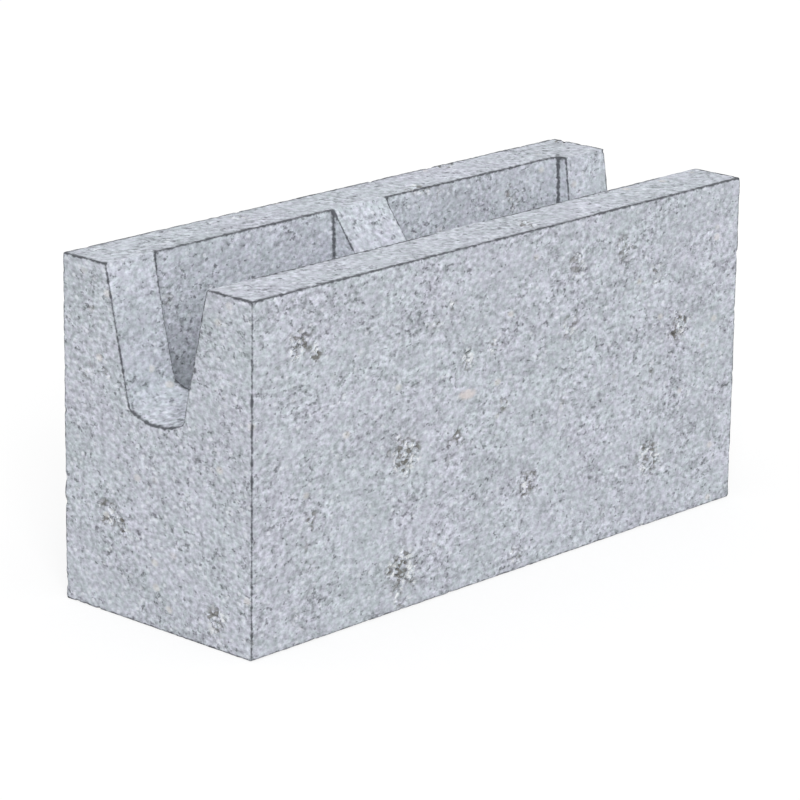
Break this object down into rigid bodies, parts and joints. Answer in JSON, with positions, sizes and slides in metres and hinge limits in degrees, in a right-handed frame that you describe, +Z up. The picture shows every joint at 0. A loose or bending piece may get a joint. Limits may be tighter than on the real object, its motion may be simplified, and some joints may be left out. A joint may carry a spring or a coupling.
{
  "type": "concrete bond beam block",
  "caption": "Hollow concrete masonry block with tapered through cores and notched webs that leave a channel for a horizontal reinforcing bar.",
  "frame": {"origin": "centre of the base, on the surface that the block stands on", "axes": "+X along the block, +Y across it towards the face shell with the step, +Z up"},
  "size_m": [0.39, 0.14, 0.19],
  "materials": {
    "concrete": "bare dry-cast concrete, blue-grey, matt, fine-grained with small pits"
  },
  "bodies": {
    "root": {"bond_beam_block": "concrete"}
  },
  "joints": []
}
